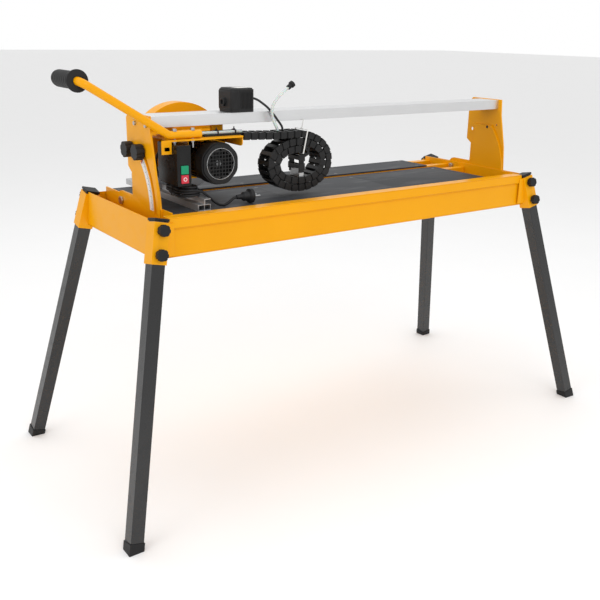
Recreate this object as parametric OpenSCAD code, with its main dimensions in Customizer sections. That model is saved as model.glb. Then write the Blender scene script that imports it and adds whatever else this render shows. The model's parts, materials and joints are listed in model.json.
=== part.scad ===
// Bridge-type tile cutter on a splayed four-leg stand.
// +X runs to the right along the rail, +Y to the back, +Z up.
// The origin is on the floor, at the centre of the four feet.

/* [Stand] */
// Distance between the leg tops along the machine
leg_span_x = 1300; // [1180:10:1600]
// Distance between the leg tops across the machine
leg_span_y = 430; // [420:5:520]
// Height of the leg tops, and of the table's surface, above the floor
table_z = 767; // [600:1:950]
// How far a foot stands outboard of its leg top, along the machine
foot_out_x = 168; // [120:1:220]
// How far a foot stands outboard of its leg top, across the machine
foot_out_y = 148; // [110:1:190]
// Width of the square leg tube
leg_w = 35; // [30:1:42]
// Wall of the leg tube
leg_wall = 2; // [1.5:0.5:3]
// Wall of the corner socket
socket_wall = 2.5; // [2:0.5:4]
// Length of the corner socket
socket_len = 104; // [85:1:125]
// Diameter of a leg's star knob
leg_knob_d = 29; // [24:1:36]

/* [Water tub] */
// Depth of the tub below the table's surface
tub_depth = 93; // [75:1:120]
// Sheet thickness of the tub
tub_wall = 2; // [1.5:0.5:3]
// Height of the raised lip along the front
lip_h = 28; // [20:1:40]
// How far the lip stands out from the front panel
lip_out = 5; // [3:1:8]
// Width of the flange on top of the front lip
rim_w = 34; // [26:1:36]

/* [Table] */
// Thickness of the table plates
plate_t = 4; // [3:0.5:6]
// Width of the slot that the blade runs in
blade_slot_w = 36; // [30:1:46]
// Open length at the right end, between the plates and the end wall
open_end = 109; // [80:1:140]
// Leg of the angle bars under the plates
bar_w = 26; // [20:1:32]
// Thickness of the angle bars
bar_t = 3; // [2:0.5:4]

/* [Bridge] */
// Height of the rail's underside above the table
throat_h = 203; // [200:1:260]
// Width of the rail
rail_w = 77; // [72:1:90]
// Height of the rail
rail_h = 28; // [27:1:36]
// Wall of the rail
rail_wall = 3; // [2.5:0.5:3.5]
// Width of the slot in the rail's underside
rail_slot_w = 16; // [14:1:20]
// Thickness of the posts and of the fixed stay plates
post_t = 5; // [4:0.5:7]
// Radius of the tilt slot about the pivot
tilt_slot_r = 206; // [200:1:210]
// Tilt travel of the bridge, in degrees
tilt_travel = 45; // [30:1:45]
// Radius of the pivot bolts
pivot_r = 8; // [6:0.5:10]
// Radius of the tilt knobs' studs
stud_r = 5; // [4:0.5:6]
// Diameter of a tilt knob
tilt_knob_d = 40; // [32:1:46]

/* [Cutting head] */
// Distance of the blade's axis from the left end wall, carriage parked
park_x = 163; // [160:1:240]
// Height of the blade's axis above the table
axis_h = 111; // [108:1:118]
// Diameter of the blade
blade_d = 230; // [180:1:230]
// Thickness of the blade
blade_t = 2.4; // [1.6:0.2:3]
// Diameter of the motor housing
motor_d = 104; // [90:1:104]
// Length of the motor housing
motor_len = 155; // [140:1:165]
// Radius of the motor shaft
shaft_r = 8; // [7:0.5:10]
// Radius of a trolley roller
roller_r = 10; // [8:0.5:10]
// Thickness of the carriage plate
carriage_t = 4; // [3:0.5:5]
// Diameter of the handle tube
handle_d = 20; // [16:1:22]
// Diameter of the handle's grip
grip_d = 41; // [34:1:44]

/* [Fence and services] */
// Width of the rip fence
fence_w = 36; // [30:1:40]
// Height of the rip fence
fence_h = 30; // [26:1:30]
// Width of the cable chain
chain_w = 56; // [40:1:60]
// Thickness of one layer of the cable chain
chain_t = 19; // [15:1:22]

/* [Hidden] */
$fn = 48;
fine = 96;
run_gap = 0.05;     // radial clearance of a shaft, screw or stud that turns
slide_gap = 0.3;    // clearance of a piece that slides or is slipped over another
face_gap = 0.5;     // clearance between flat faces that pass each other
edge_r = 6;
seam = 0.02;        // between sheets that are welded edge to edge

// legs
leg_len = norm([foot_out_x, foot_out_y, table_z]);
lean_x = asin(foot_out_y / leg_len);
lean_y = atan2(foot_out_x, table_z);
leg_r = leg_w / 2;
socket_r = leg_r + slide_gap + socket_wall;
foot_cap_h = 22;
cap_wall = 2;
top_cap_h = 6;
leg_screw_r = 4;
weld_nut_h = 4;
knob_places = [0.22, 0.78];
leg_knob_h = 14;

// tub
tub_x = leg_span_x / 2 + 15;
tub_y = leg_span_y / 2 + 8;
tub_z = table_z - tub_depth;
rim_z = table_z + 6;
end_panel_z = table_z + 3;
front_y = -tub_y - lip_out;
flange_w = 36;

// table
wall_t = 4;
left_wall = -leg_span_x / 2 + 46;
right_wall = leg_span_x / 2 - leg_r - 4.5;
plate_z = table_z - plate_t;
table_front = front_y + rim_w + 4;
table_back = tub_y + 3;
cut_y = 82;
slot_front = cut_y - blade_slot_w / 2 - 2;
slot_back = cut_y + blade_slot_w / 2 - 2;
plate_left = left_wall + wall_t;
plate_right = right_wall - open_end;
wall_top = table_z + 9;
bar_ys = [table_front + 2, slot_front - bar_w - 14, slot_back + 4, table_back - bar_w - 8];
screw_r = 3;

// bridge
pivot_y = cut_y;
pivot_z = table_z - 5;
pivot_lobe_r = 26;
knob_angle = tilt_travel + 0.6;
knob_y = pivot_y - tilt_slot_r * cos(knob_angle);
knob_z = pivot_z + tilt_slot_r * sin(knob_angle);
stay_r = tilt_slot_r + 16;
stay_top = table_z + 148;
stay_left = left_wall - post_t;
stay_right = right_wall + post_t;
post_left = stay_left - face_gap;
post_right = stay_right + face_gap;
slot_r = stud_r + 0.5;
scale_r0 = tilt_slot_r - 29;
scale_r1 = tilt_slot_r - 9;
scale_t = 0.8;
rail_y = -58.5;
rail_z = table_z + throat_h;
rail_top = rail_z + rail_h;
boss = 8;
post_top = rail_top + 2;
tilt_knob_h = 21;
stop_knob_y = 0;

// cutting head
axis_x = left_wall + park_x;
axis_z = table_z + axis_h;
motor_r = motor_d / 2;
motor_back = 50;
motor_front = motor_back - motor_len;
fan_len = 45;
fan_front = motor_front - fan_len;
housing_wall = 5;
fan_wall = 2;
fan_corner_r = 30;
bearing_r = 17;
bearing_w = 10;
stator_r = 30;
arbor_r = 12.6;
flange_r = 30;
guard_r = 137;
guard_y0 = motor_back + 10;
guard_y1 = 105;
guard_t = 2;
carriage_z = rail_z - 27;
carriage_x0 = axis_x - 130;
carriage_x1 = axis_x + 78;
carriage_y0 = -136;
hanger_xs = [axis_x - 105, axis_x + 40];
hanger_t = 8;
hanger_w = 34;
hanger_foot_t = 4;
nut_h = 3;
roller_w = 8;
roller_axle_r = 3;
roller_y = hanger_t / 2 + 8;
roller_z = rail_z + rail_wall + roller_r + slide_gap;
handle_y = -124;
handle_r = handle_d / 2;
handle_z = carriage_z + handle_r + 1;
handle_x0 = axis_x - 119;
handle_x1 = axis_x - 33;
handle_bolt_xs = [handle_x0 + 14, handle_x1 - 22];
grip_x = axis_x - 346;
grip_z = handle_z + 132;
grip_y0 = -108;
grip_y1 = 22;

// switch box
box_x0 = axis_x - 127;
box_x1 = axis_x - 89;
box_y0 = -160;
box_y1 = -50;
box_z0 = axis_z - 46;
box_z1 = axis_z + 54;
box_wall = 2.5;
button_w = 20;
button_h = 21;
button_x = (box_x0 + box_x1) / 2;
button_zs = [axis_z - 16, axis_z - 39];
button_out = 3;

// pump
pump_x0 = axis_x + 60;
pump_x1 = axis_x + 131;
pump_y0 = -103;
pump_y1 = -35;
pump_z0 = rail_top + slide_gap;
pump_z1 = pump_z0 + 61;

// cable chain
chain_y0 = -130;
chain_y1 = chain_y0 + chain_w;
coil_x0 = axis_x + 143;
coil_x1 = axis_x + 375;
coil_z0 = table_z + 3;
coil_z1 = table_z + 179;
hole_x0 = coil_x0 + 32;
hole_x1 = coil_x1 - 73;
hole_z0 = coil_z0 + 33;
hole_z1 = coil_z1 - 65;
arm_x0 = handle_x1 + 6;
arm_x1 = axis_x + 89;
arm_t = 5;

// fence
fence_x1 = axis_x - 43;
fence_x0 = fence_x1 - fence_w;
fence_y0 = table_front + 18;
fence_y1 = tub_y + 47;
fence_z0 = table_z + 0.2;
fence_wall = 2;

// mains plug, lying on the table
plug_r = 19;
plug_z = table_z + plug_r + slide_gap;
plug_y = -142;
plug_face_x = axis_x + 98;

// place of the blade's axis that the cord points below are true for; the cords keep step with it
cord_axis_x = -441;
cord_axis_z = 878;

// mains lead: strain relief to hank, then hank to plug
lead_r = 3.5;
lead_x = axis_x - 97;
lead_z = axis_z + 21;
relief_len = 24;
hank_len = 120;
hank_w = 64;
hank_h = 29;
hank_x = -517;
hank_y = -86;
hank_z = 797.6;
lead_from_box = [
    [-538, -26, 899], [-538, -14, 899], [-538, -4, 898], [-538, 5, 894], [-538, 13, 888],
    [-538, 19, 880], [-538, 23, 871], [-538, 24, 861], [-538, 23, 851], [-538, 19, 842],
    [-538, 13, 834], [-538, 5, 828], [-538, -4, 824], [-538, -14, 823], [-538, -31, 823]];
lead_to_plug = [
    [-496, -143, 812], [-487, -144, 806], [-478, -145, 799], [-469, -146, 791], [-460, -146, 783],
    [-450, -146, 776], [-440, -146, 772], [-429, -145, 771], [-418, -144, 774], [-408, -143, 779],
    [-400, -142, 784], [-392, -142, 786]];

// pump cable: pump to chain
pump_cord_r = 3;
pump_cord_path = [
    [-309, -80, 1031], [-300, -82, 1031], [-289, -87, 1026], [-279, -93, 1018], [-269, -99, 1009],
    [-260, -104, 998], [-250, -107, 986], [-242, -109, 975], [-234, -110, 965], [-228, -110, 956],
    [-226, -110, 947]];

// water hose: chain to tap connector
hose_r = 4;
hose_path = [
    [-245, -114, 948], [-249, -115, 957], [-255, -116, 966], [-262, -117, 980], [-266, -118, 994],
    [-265, -118, 1008], [-259, -118, 1021], [-249, -117, 1032], [-237, -116, 1042],
    [-225, -115, 1050], [-213, -114, 1058]];

// ---- helpers ----------------------------------------------------------------

// An outline in Y and Z, made into a plate that starts at x0 and is t thick
module plate_yz(x0, t) {
    translate([x0, 0, 0]) rotate([90, 0, 90]) linear_extrude(t) children();
}

// An outline in X and Z, made into a plate that starts at y0 and is t thick
module plate_xz(y0, t) {
    translate([0, y0 + t, 0]) rotate([90, 0, 0]) linear_extrude(t) children();
}

module rod_x(x0, x1, y, z, r) {
    translate([x0, y, z]) rotate([0, 90, 0]) cylinder(h = x1 - x0, r = r);
}

module rod_y(y0, y1, x, z, r) {
    translate([x, y1, z]) rotate([90, 0, 0]) cylinder(h = y1 - y0, r = r);
}

module block(x0, x1, y0, y1, z0, z1) {
    translate([x0, y0, z0]) cube([x1 - x0, y1 - y0, z1 - z0]);
}

// A flat rectangle with round corners
module round_rect(x0, x1, y0, y1, r) {
    translate([x0 + r, y0]) square([x1 - x0 - 2 * r, y1 - y0]);
    translate([x0, y0 + r]) square([x1 - x0, y1 - y0 - 2 * r]);
    for (x = [x0 + r, x1 - r], y = [y0 + r, y1 - r]) translate([x, y]) circle(r = r);
}

// A bar from one point to another, with a round at each end
module round_bar(a, b, r) {
    d = b - a;
    translate(a) rotate([0, acos(d[2] / norm(d)), atan2(d[1], d[0])]) cylinder(h = norm(d), r = r);
    translate(b) sphere(r = r);
}

// A knob's head: a disc with scallops cut out of its rim
module star_head(d, h, scallops = 7) {
    linear_extrude(h) difference() {
        circle(d = d);
        for (i = [0 : scallops - 1])
            rotate(i * 360 / scallops) translate([d / 2 + d * 0.06, 0]) circle(d = d * 0.22);
    }
}

// Round tube swept along points, closed at both ends
function unit(v) = v / norm(v);
function heading(path, i) =
    unit(path[min(i + 1, len(path) - 1)] - path[max(i - 1, 0)]);
function side_of(v) = unit(cross(v, abs(v[2]) > 0.9 ? [0, 1, 0] : [0, 0, 1]));
function carried(side, v) = unit(side - v * (side * v));
function sides_along(path, i = 0, side = undef) =
    i == len(path) ? [] :
    let (s = i == 0 ? side_of(heading(path, 0)) : carried(side, heading(path, i)))
    concat([s], sides_along(path, i + 1, s));
module swept_tube(path, r, facets = 10) {
    sides = sides_along(path);
    rings = len(path);
    points = [for (i = [0 : rings - 1], k = [0 : facets - 1])
        let (v = heading(path, i), a = k * 360 / facets)
        path[i] + r * (cos(a) * sides[i] + sin(a) * cross(v, sides[i]))];
    walls = [for (i = [0 : rings - 2], k = [0 : facets - 1])
        let (n = (k + 1) % facets)
        [i * facets + k, (i + 1) * facets + k, (i + 1) * facets + n, i * facets + n]];
    first_cap = [for (k = [0 : facets - 1]) k];
    last_cap = [for (k = [facets - 1 : -1 : 0]) (rings - 1) * facets + k];
    polyhedron(points, concat(walls, [first_cap, last_cap]), convexity = 6);
}

// ---- stand ------------------------------------------------------------------

// Places children in one corner of the stand; sx and sy are -1 or 1
module corner(sx, sy) {
    scale_x = sx < 0 ? 1 : 0;
    scale_y = sy < 0 ? 1 : 0;
    mirror([scale_x, 0, 0]) mirror([0, scale_y, 0]) children();
}
module each_corner() {
    for (sx = [-1, 1], sy = [-1, 1]) corner(sx, sy) children();
}

// Moves children to the right rear leg's top, with -Z running down the leg
module leg_frame() {
    translate([leg_span_x / 2, leg_span_y / 2, table_z]) rotate([lean_x, -lean_y, 0]) children();
}
module leg_prism(r, from, to) {
    translate([-r, -r, -to]) cube([2 * r, 2 * r, to - from]);
}

module legs() {
    color("#1d1e20") each_corner() intersection() {
        leg_frame() difference() {
            leg_prism(leg_r, 0, leg_len + 30);
            leg_prism(leg_r - leg_wall, -1, leg_len + 31);
        }
        block(0, leg_span_x, 0, leg_span_y, cap_wall + 1, table_z + 50);
    }
}

module leg_end_caps() {
    color("#2b2c2e") each_corner() {
        leg_frame() leg_prism(leg_r + cap_wall, -top_cap_h, 0);
        difference() {
            intersection() {
                leg_frame() leg_prism(leg_r + cap_wall, leg_len - foot_cap_h, leg_len + 30);
                block(0, leg_span_x, 0, leg_span_y, 0, table_z);
            }
            intersection() {
                leg_frame() leg_prism(leg_r + 0.02, leg_len - foot_cap_h - 1, leg_len + 30);
                block(0, leg_span_x, 0, leg_span_y, cap_wall + 1, table_z);
            }
        }
    }
}

module corner_sockets() {
    color("#f0a011") each_corner() {
        difference() {
            union() {
                leg_frame() {
                    leg_prism(socket_r, 3, socket_len);
                    for (p = knob_places) translate([0, socket_r, -socket_len * p])
                        rotate([-90, 0, 0]) cylinder(h = weld_nut_h, r = leg_screw_r * 1.9);
                }
                socket_flange();
            }
            leg_frame() {
                leg_prism(leg_r + slide_gap, 0, socket_len + 2);
                for (p = knob_places) translate([0, 0, -socket_len * p])
                    rotate([-90, 0, 0]) cylinder(h = 60, r = leg_screw_r + run_gap);
            }
        }
    }
}

// Strip that welds the socket to the long panel, just outside the panel's face
module socket_flange() {
    x1 = leg_span_x / 2 + 4;
    block(x1 - flange_w, x1, tub_y + lip_out + 0.1, tub_y + lip_out + 3.1, tub_z + 6, table_z - 6);
    block(x1 - flange_w / 2, x1, tub_y + 0.1, tub_y + lip_out + 3.1, tub_z + 6, rim_z - lip_h - 1);
}

// Knob n, counted round the stand: two to a leg, upper then lower
module leg_knob(n) {
    leg = floor((n - 1) / 2);
    sx = leg % 2 == 0 ? -1 : 1;
    sy = leg < 2 ? -1 : 1;
    place = knob_places[(n - 1) % 2];
    color("#232426") corner(sx, sy) leg_frame()
        translate([0, leg_r + 0.1, -socket_len * place]) rotate([-90, 0, 0]) {
            cylinder(h = socket_r - leg_r + weld_nut_h + 2, r = leg_screw_r);
            translate([0, 0, socket_r - leg_r + weld_nut_h + 0.6]) star_head(leg_knob_d, leg_knob_h);
        }
}

// ---- water tub and table ------------------------------------------------------

// Sheets that are welded edge to edge, with seam between each two
module tub() {
    x1 = tub_x - tub_wall - seam;
    floor_top = tub_z + tub_wall;
    ledge_z = rim_z - lip_h;
    color("#f2a20f") difference() {
        union() {
            block(-tub_x, tub_x, -tub_y, tub_y, tub_z, floor_top);
            for (x = [-tub_x, tub_x - tub_wall])
                block(x, x + tub_wall, -tub_y, tub_y, floor_top + seam, end_panel_z);
            block(-x1, x1, tub_y - tub_wall, tub_y, floor_top + seam, plate_z - 1);
            block(-x1, x1, -tub_y, -tub_y + tub_wall, floor_top + seam, ledge_z - seam);
            block(-x1, x1, front_y, -tub_y + tub_wall, ledge_z, ledge_z + tub_wall);
            block(-x1, x1, front_y, front_y + tub_wall, ledge_z + tub_wall + seam, rim_z - tub_wall - seam);
            block(-x1, x1, front_y, front_y + rim_w, rim_z - tub_wall, rim_z);
        }
        each_corner() leg_frame() leg_prism(socket_r + 0.2, -30, socket_len + 30);
    }
}

// Two end walls, with four angle bars welded between them
module table_frame() {
    x0 = left_wall + wall_t + seam;
    x1 = right_wall - wall_t - seam;
    color("#e2960f") difference() {
        union() {
            for (x = [left_wall, right_wall - wall_t])
                block(x, x + wall_t, table_front, tub_y - 6, tub_z + tub_wall, wall_top);
            for (y = bar_ys) {
                block(x0, x1, y, y + bar_w, plate_z - bar_t, plate_z);
                block(x0, x1, y, y + bar_t, plate_z - bar_w, plate_z - bar_t - seam);
            }
        }
        rod_x(left_wall - 1, right_wall + 1, pivot_y, pivot_z, pivot_r);
        table_screw_places() translate([0, 0, plate_z - bar_t - 1]) cylinder(h = bar_t + 2, r = screw_r);
        for (x = [plate_right + 40, plate_right + 80])
            translate([x, bar_ys[2] + bar_w / 2, plate_z - bar_t - 1]) cylinder(h = bar_t + 2, r = screw_r);
    }
}

module table_screw_places() {
    for (y = bar_ys, x = [plate_left + 30 : (plate_right - plate_left - 60) / 3 : plate_right - 29])
        translate([x, y + bar_w / 2 + bar_t, 0]) children();
}

module table_plate(y0, y1) {
    difference() {
        block(plate_left, plate_right, y0, y1, plate_z, table_z);
        table_screw_places() translate([0, 0, plate_z - 1]) cylinder(h = plate_t + 2, r = screw_r);
        table_screw_places() translate([0, 0, table_z - 2]) cylinder(h = 3, r = screw_r * 2 + 0.2);
    }
}
module front_table() { color("#50555a") table_plate(table_front, slot_front); }
module rear_table() { color("#50555a") table_plate(slot_back, table_back); }

module table_screws() {
    color("#5a5c60") table_screw_places() translate([0, 0, plate_z - bar_t - 5]) {
        cylinder(h = bar_t + 5 + plate_t - 1, r = screw_r - 0.01);
        translate([0, 0, bar_t + 5 + plate_t - 2]) cylinder(h = 1.8, r = screw_r * 2);
    }
}

// Fixed plate beside each end wall, rounded about the pivot
module stay_outline() {
    difference() {
        union() {
            intersection() {
                translate([pivot_y, pivot_z]) circle(r = stay_r, $fn = fine);
                translate([pivot_y - stay_r, pivot_z - 26]) square([stay_r - 88, stay_top - pivot_z + 26]);
            }
            translate([table_front + 46, pivot_z - 26]) square([pivot_y - table_front - 46, 40]);
            translate([pivot_y, pivot_z - 6]) circle(r = 20);
        }
        translate([pivot_y, pivot_z]) circle(r = pivot_r);
        translate([knob_y, knob_z]) circle(r = stud_r + run_gap);
    }
}
module stay_plates() {
    color("#c8790f") {
        plate_yz(stay_left, post_t) stay_outline();
        plate_yz(right_wall, post_t) stay_outline();
    }
}

module pivot_bolts() {
    color("#8d9094") {
        rod_x(post_left - post_t - face_gap, left_wall + wall_t + 8, pivot_y, pivot_z, pivot_r - 0.01);
        rod_x(post_left - post_t - 6, post_left - post_t - face_gap, pivot_y, pivot_z, pivot_r * 1.35);
        rod_x(right_wall - wall_t - 8, post_right + post_t + face_gap, pivot_y, pivot_z, pivot_r - 0.01);
        rod_x(post_right + post_t + face_gap, post_right + post_t + 6, pivot_y, pivot_z, pivot_r * 1.35);
    }
}

// ---- bridge -------------------------------------------------------------------

module post_outline() {
    front_low = pivot_z - 20;
    difference() {
        union() {
            polygon([[-108, post_top], [-112, table_z + 183], [-134, table_z + 83], [-141, table_z + 1],
                [-141, front_low], [pivot_y, pivot_z - pivot_lobe_r], [pivot_y, pivot_z + pivot_lobe_r],
                [10, pivot_z + pivot_lobe_r], [10, table_z + 81], [30, table_z + 95],
                [30, post_top - 14], [16, post_top]]);
            translate([pivot_y, pivot_z]) circle(r = pivot_lobe_r);
        }
        translate([pivot_y, pivot_z]) circle(r = pivot_r + run_gap);
        tilt_slot();
        rail_screw_places() circle(r = screw_r + 0.2);
    }
}

// Round-ended slot about the pivot, as long as the tilt travel
module tilt_slot() {
    translate([pivot_y, pivot_z]) intersection() {
        difference() {
            circle(r = tilt_slot_r + slot_r, $fn = fine);
            circle(r = tilt_slot_r - slot_r, $fn = fine);
        }
        polygon([[0, 0], for (a = [0, 1]) 400 * [-cos(0.6 + a * tilt_travel), sin(0.6 + a * tilt_travel)]]);
    }
    for (a = [0.6, knob_angle])
        translate([pivot_y - tilt_slot_r * cos(a), pivot_z + tilt_slot_r * sin(a)]) circle(r = slot_r);
}

module rail_screw_places() {
    for (y = [-1, 1], z = [0, 1])
        translate([rail_y + y * (rail_w / 2 - rail_wall - boss / 2 + 1),
            z == 0 ? rail_z + rail_wall + boss / 2 - 1 : rail_top - rail_wall - boss / 2 + 1])
            children();
}

module left_post() {
    color("#e39a3c") difference() {
        plate_yz(post_left - post_t, post_t) post_outline();
        rod_x(post_left - post_t - 1, post_left + 1, stop_knob_y, knob_z, stud_r + run_gap);
    }
}
module right_post() {
    color("#c8790f") plate_yz(post_right, post_t) difference() {
        post_outline();
        translate([10, table_z + 129]) circle(r = 6);
        translate([-96, table_z + 151]) circle(r = 4);
    }
}

module angle_scale() {
    color("#e9e6e0") plate_yz(post_left - post_t - scale_t, scale_t)
        translate([pivot_y, pivot_z]) intersection() {
            difference() {
                circle(r = scale_r1, $fn = fine);
                circle(r = scale_r0, $fn = fine);
            }
            polygon([[0, 0], for (a = [0, 1]) 300 * [-cos(2 + a * 40), sin(2 + a * 40)]]);
        }
}

// Red pointer on the fixed stud, over the top of the scale
module scale_pointer() {
    x = post_left - post_t - scale_t - 1.6;
    color("#b3221c") plate_yz(x, 1) difference() {
        union() {
            translate([knob_y, knob_z]) circle(r = stud_r + 5);
            translate([pivot_y, pivot_z]) rotate(180 - knob_angle + 3)
                polygon([[scale_r0 + 6, 5], [scale_r0 + 6, 9], [tilt_slot_r - 4, 2], [tilt_slot_r - 4, -12]]);
        }
        translate([knob_y, knob_z]) circle(r = stud_r + run_gap);
    }
}

// A tilt knob with its stud, from the inner end of the stud out to the head
module tilt_knob_left() {
    head = post_left - post_t - scale_t - 2.2;
    color("#232426") {
        rod_x(head - 2, stay_left + post_t - 0.5, knob_y, knob_z, stud_r);
        translate([head, knob_y, knob_z]) rotate([0, -90, 0]) star_head(tilt_knob_d, tilt_knob_h);
    }
}
module tilt_knob_right() {
    head = post_right + post_t + 1;
    color("#232426") {
        rod_x(right_wall + 0.5, head + 2, knob_y, knob_z, stud_r);
        translate([head, knob_y, knob_z]) rotate([0, 90, 0]) star_head(tilt_knob_d, tilt_knob_h);
    }
}
module stop_knob() {
    head = post_left - post_t - scale_t - 2.2;
    color("#232426") {
        rod_x(head - 2, post_left, stop_knob_y, knob_z, stud_r);
        translate([head, stop_knob_y, knob_z]) rotate([0, -90, 0]) star_head(tilt_knob_d, tilt_knob_h);
    }
}

// Aluminium channel with its slot underneath and screw bosses in its corners
module rail_outline() {
    y0 = rail_y - rail_w / 2;
    difference() {
        translate([y0, rail_z]) square([rail_w, rail_h]);
        difference() {
            translate([y0 + rail_wall, rail_z + rail_wall])
                square([rail_w - 2 * rail_wall, rail_h - 2 * rail_wall]);
            rail_screw_places() translate([-boss / 2 - 1, -boss / 2 - 1]) square(boss + 2);
        }
        translate([rail_y - rail_slot_w / 2, rail_z - 1]) square([rail_slot_w, rail_wall + 2]);
        rail_screw_places() circle(r = screw_r - 0.4);
        for (y = [-0.3, -0.08, 0.14]) translate([rail_y + y * rail_w, rail_top - 1]) square([2.2, 2]);
    }
}
module rail() {
    color("#c3c6c9") plate_yz(post_left, post_right - post_left) rail_outline();
}

module rail_screws() {
    color("#8d9094") for (side = [0, 1]) {
        outer = side == 0 ? post_left - post_t - 5 : post_right + post_t + 0.01;
        plate_yz(outer, 5) rail_screw_places() circle(r = screw_r * 1.8);
        shank = side == 0 ? post_left - post_t - 1 : post_right - 18;
        plate_yz(shank, post_t + 19.02) rail_screw_places() circle(r = screw_r - 0.42);
    }
}

// ---- carriage -----------------------------------------------------------------

module carriage_plate() {
    z0 = carriage_z - carriage_t;
    color("#f2a20f") difference() {
        union() {
            translate([0, 0, z0]) linear_extrude(carriage_t)
                round_rect(carriage_x0, carriage_x1, carriage_y0, guard_y0 - 1, edge_r);
            // turned-down right end, rounded at its lower front corner
            plate_yz(carriage_x1 - 3, 3) hanging_ear(carriage_y0 + edge_r, guard_y0 - 10, z0 + 1, 24);
            // folded-down tab with a slot, at the front left
            plate_xz(carriage_y0 + 2, 3) difference() {
                union() {
                    translate([carriage_x0 - 25, z0 - 30]) square([26.5, 30 + carriage_t]);
                    translate([carriage_x0, z0]) square([20, carriage_t]);
                }
                translate([carriage_x0 - 18, z0 - 22]) square([14, 9]);
            }
            // pad that the motor's feet bolt to
            block(axis_x - 20, axis_x + 20, motor_front + 20, motor_back - 8, axis_z + motor_r - 4, z0 + 1);
        }
        rod_y(motor_front - 1, motor_back + 1, axis_x, axis_z, motor_r + 0.02);
        hanger_screw_places() translate([0, 0, z0 - 1]) cylinder(h = carriage_t + 2, r = screw_r);
        for (x = handle_bolt_xs) translate([x, handle_y, z0 - 1]) cylinder(h = carriage_t + 2, r = screw_r);
    }
}

module hanging_ear(y0, y1, top, drop) {
    translate([y0, top - drop + 10]) square([y1 - y0, drop - 10]);
    translate([y0 + 10, top - drop]) square([y1 - y0 - 20, 11]);
    for (y = [y0 + 10, y1 - 10]) translate([y, top - drop + 10]) circle(r = 10);
}

module hanger_screw_places() {
    for (x = hanger_xs, s = [-1, 1]) translate([x + s * 10, rail_y + s * 14, 0]) children();
}

// Two hangers that pass up through the rail's slot, each with its roller axle
module trolley_hangers() {
    color("#d98d17") for (x = hanger_xs) {
        difference() {
            union() {
                block(x - hanger_w / 2, x + hanger_w / 2, rail_y - 22, rail_y + 22,
                    carriage_z, carriage_z + hanger_foot_t);
                block(x - hanger_w / 2, x + hanger_w / 2, rail_y - hanger_t / 2, rail_y + hanger_t / 2,
                    carriage_z, roller_z + 7);
            }
            for (s = [-1, 1]) translate([x + s * 10, rail_y + s * 14, carriage_z - 1]) cylinder(h = 6, r = screw_r);
        }
        rod_y(rail_y - roller_y - roller_w + 2, rail_y + roller_y + roller_w - 2, x, roller_z, roller_axle_r);
    }
    color("#9a9da0") hanger_screw_places() translate([0, 0, carriage_z - carriage_t]) {
        translate([0, 0, -nut_h - 1]) cylinder(h = 2 * nut_h + carriage_t + hanger_foot_t + 2, r = screw_r - 0.01);
        translate([0, 0, -nut_h - 0.01]) cylinder(h = nut_h, r = screw_r * 1.8, $fn = 6);
        translate([0, 0, carriage_t + hanger_foot_t + 0.01]) cylinder(h = nut_h, r = screw_r * 1.8, $fn = 6);
    }
}

// Rollers 1 and 2 are on the left hanger, 3 and 4 on the right one
module roller(n) {
    x = hanger_xs[floor((n - 1) / 2)];
    y = rail_y + (n % 2 == 1 ? -1 : 1) * roller_y;
    color("#3a3b3e") difference() {
        rod_y(y - roller_w / 2, y + roller_w / 2, x, roller_z, roller_r);
        rod_y(y - roller_w, y + roller_w, x, roller_z, roller_axle_r + run_gap);
        for (s = [-1, 1]) translate([x, y + s * (roller_w / 2 + 1), roller_z]) rotate([s * 90, 0, 0])
            rotate_extrude() translate([roller_r - 4, 0]) square([1.5, 2]);
    }
}

module handle_tube() {
    a = [handle_x1, handle_y, handle_z];
    b = [handle_x0, handle_y, handle_z];
    c = [grip_x, handle_y, grip_z];
    color("#f5a90f") {
        round_bar(a, b, handle_r);
        round_bar(b, c, handle_r);
        round_bar(c, [grip_x, grip_y1 - 6, grip_z], handle_r);
    }
    color("#9a9da0") for (x = handle_bolt_xs)
        translate([x, handle_y, carriage_z - carriage_t - 6]) cylinder(h = 10 + carriage_t, r = screw_r - 0.01);
}

module handle_grip() {
    color("#1c1d1f") difference() {
        translate([grip_x, grip_y0, grip_z]) rotate([-90, 0, 0]) rotate_extrude() polygon(concat(
            [[0, 0], [26, 0], [26, 5], [19, 9]],
            [for (i = [0 : 8]) each [[grip_d / 2, 12 + i * 12], [grip_d / 2, 19 + i * 12], [grip_d / 2 - 1.2, 21 + i * 12]]],
            [[grip_d / 2 - 1, 122], [grip_d / 2 - 5, 130], [0, 130]]));
        rod_y(grip_y0 - 1, grip_y1 - 6 + handle_r + 0.1, grip_x, grip_z, handle_r + 0.02);
    }
}

// ---- motor and blade ------------------------------------------------------------

module motor_housing() {
    color("#1f2022") difference() {
        union() {
            rod_y(motor_front, motor_back, axis_x, axis_z, motor_r - 3);
            for (i = [0 : 23]) translate([axis_x, 0, axis_z]) rotate([0, 7.5 + i * 15, 0])
                block(motor_r - 6, motor_r - 1, motor_front + 6, motor_back - 11, -1, 1);
            rod_y(motor_back - 12, motor_back, axis_x, axis_z, motor_r - 0.2);
            rod_y(motor_back - 1, motor_back + 9.5, axis_x, axis_z, 34);
        }
        rod_y(motor_front + 6, motor_back - 6, axis_x, axis_z, motor_r - 3 - housing_wall);
        rod_y(motor_front - 1, motor_front + 8, axis_x, axis_z, bearing_r + 0.01);
        rod_y(motor_back - 7, motor_back + 4, axis_x, axis_z, bearing_r + 0.01);
        rod_y(motor_back, motor_back + 12, axis_x, axis_z, shaft_r + 4);
    }
}

module motor_bearings() {
    color("#b9bcc0") for (y = [motor_front - 3.5, motor_back - 6]) difference() {
        rod_y(y, y + bearing_w, axis_x, axis_z, bearing_r);
        rod_y(y - 1, y + bearing_w + 1, axis_x, axis_z, shaft_r + run_gap);
    }
}

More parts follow.
